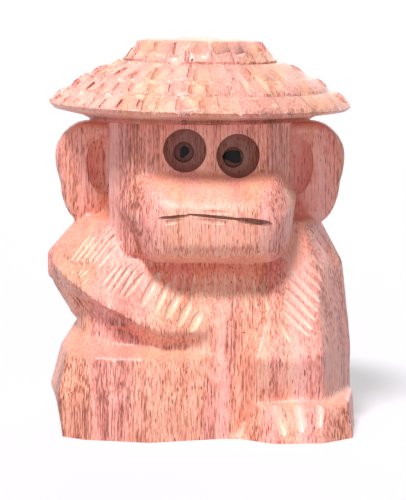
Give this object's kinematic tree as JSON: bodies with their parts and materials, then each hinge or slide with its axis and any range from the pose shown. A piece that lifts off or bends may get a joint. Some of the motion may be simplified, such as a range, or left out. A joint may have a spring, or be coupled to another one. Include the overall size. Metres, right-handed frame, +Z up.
{
  "type": "monkey figurine",
  "caption": "Carved wooden seated monkey whose straw-hat lid swivels on a screw over a metal-lined bowl in its head.",
  "frame": {"origin": "on the sawn base, under the middle of the hat", "axes": "+Z up, the monkey faces -Y, its folded arm is at -X"},
  "size_m": [0.0806, 0.0855, 0.1],
  "materials": {
    "carved_wood": "sanded and waxed, satin",
    "liner_aluminium": "pressed sheet, dull",
    "screw_steel": "zinc plated, satin",
    "black_paint": "gloss paint"
  },
  "bodies": {
    "block": {"body_block": "carved_wood", "bowl_liner": "liner_aluminium", "pivot_screw": "screw_steel", "pivot_washer": "screw_steel", "left_pupil": "black_paint", "right_pupil": "black_paint"},
    "hat": {"hat_lid": "carved_wood"}
  },
  "joints": [
    {"name": "hat_swivel", "type": "hinge", "parent": "block", "child": "hat", "pos_m": [0, 0.0265, 0.079], "axis": [0, 0, 1], "continuous": true}
  ]
}
